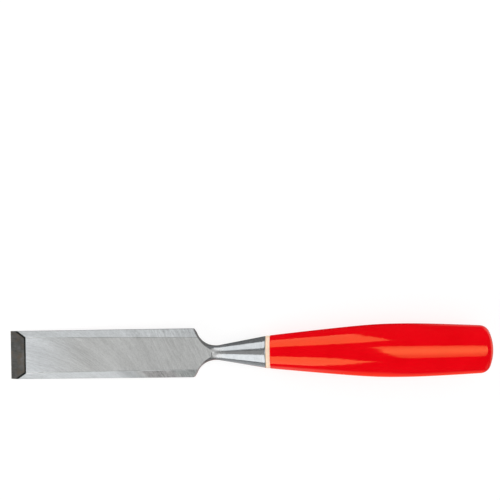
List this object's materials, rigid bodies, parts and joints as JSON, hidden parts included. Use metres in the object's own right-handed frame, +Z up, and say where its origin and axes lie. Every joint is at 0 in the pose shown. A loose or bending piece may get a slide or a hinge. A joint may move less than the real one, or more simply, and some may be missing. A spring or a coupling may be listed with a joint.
{
  "type": "bench chisel",
  "caption": "Bevel-edged bench chisel, 24 mm wide, with a forged blade, neck and conical bolster, an ivory washer and a glossy red barrel-shaped plastic handle.",
  "frame": {"origin": "middle of the tool's footprint, on the surface that it lies on", "axes": "+X along the tool from the cutting edge to the butt of the handle, +Y across the blade, +Z up; the tool lies flat back down, resting on its cutting edge and the belly of its handle"},
  "size_m": [0.2388, 0.0262, 0.0275],
  "materials": {
    "ground_steel": "blade faces ground with visible curved grinding marks, neck and bolster polished, cutting bevel darker",
    "ivory_plastic": "moulded, satin",
    "red_plastic": "moulded, high gloss"
  },
  "bodies": {
    "root": {"blade": "ground_steel", "bolster_washer": "ivory_plastic", "handle": "red_plastic"}
  },
  "joints": []
}
